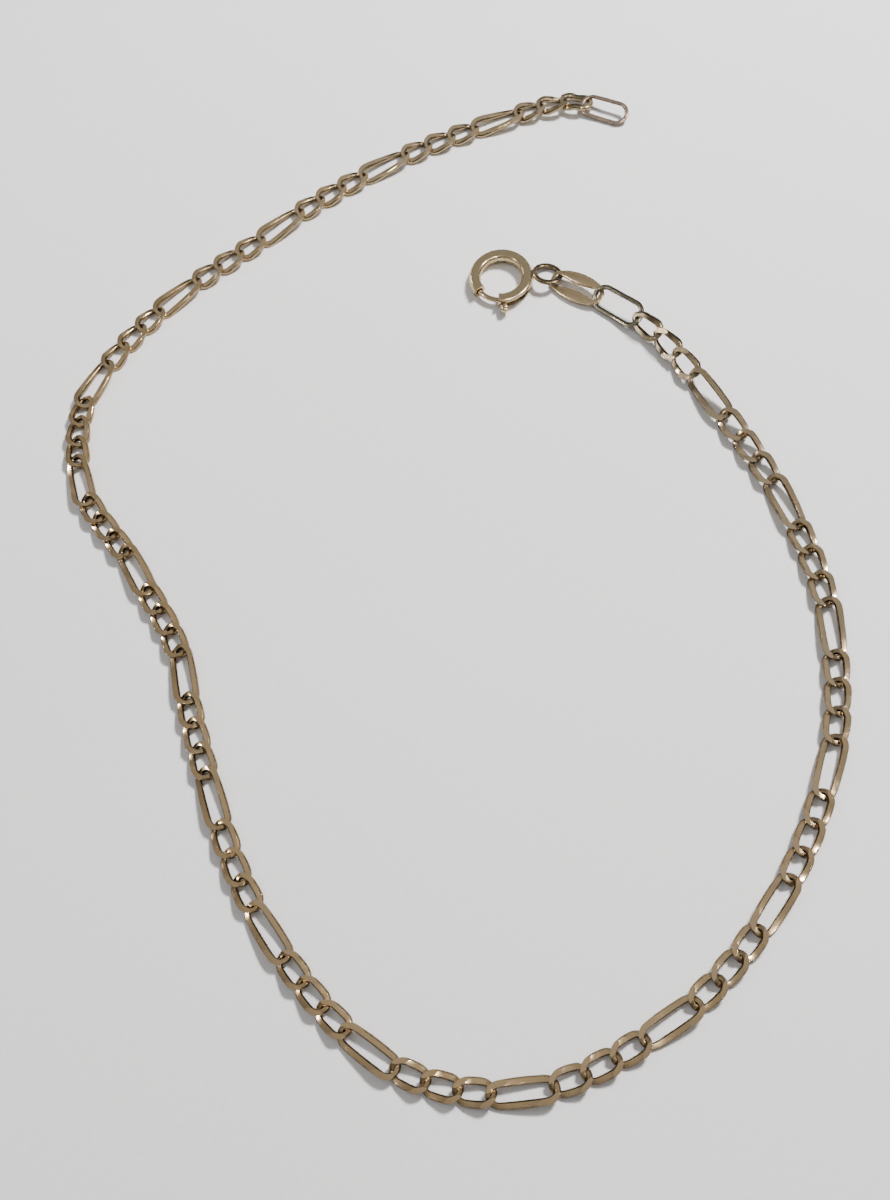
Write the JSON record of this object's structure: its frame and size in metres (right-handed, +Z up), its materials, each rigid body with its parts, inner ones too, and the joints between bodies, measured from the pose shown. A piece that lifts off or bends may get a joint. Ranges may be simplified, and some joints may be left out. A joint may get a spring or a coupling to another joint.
{
  "type": "chain bracelet",
  "caption": "Fine gold figaro chain bracelet lying unfastened in an open curve, with a spring ring clasp, a flat tag link and a plain end link.",
  "frame": {"origin": "on the surface that the bracelet lies on, under the middle of the whole outline seen from above", "axes": "+Z up from the surface, +Y from the bottom of the curve towards the free end, +X to the right of the picture"},
  "size_m": [0.0572, 0.078, 0.0021],
  "materials": {
    "chain_gold": "polished, with faces ground flat",
    "free_chain_gold": "polished, with faces ground flat",
    "first_link_gold": "polished wire",
    "end_link_gold": "polished wire",
    "tag_gold": "polished flat plate",
    "spring_ring_gold": "bright polished tube",
    "trigger_gold": "polished"
  },
  "bodies": {
    "bracelet": {"chain_clasp_half": "chain_gold", "chain_free_half": "free_chain_gold", "first_link": "first_link_gold", "end_link": "end_link_gold", "tag_link": "tag_gold", "spring_ring_body": "spring_ring_gold"},
    "trigger": {"trigger": "trigger_gold"}
  },
  "joints": [
    {"name": "trigger_slide", "type": "hinge", "parent": "bracelet", "child": "trigger", "pos_m": [0.00462, 0.02096, 0.00046], "axis": [0, 0, 1], "range_deg": [0, 46], "stiffness_Nm_per_rad": 0.0002, "springref_deg": -28.65}
  ]
}
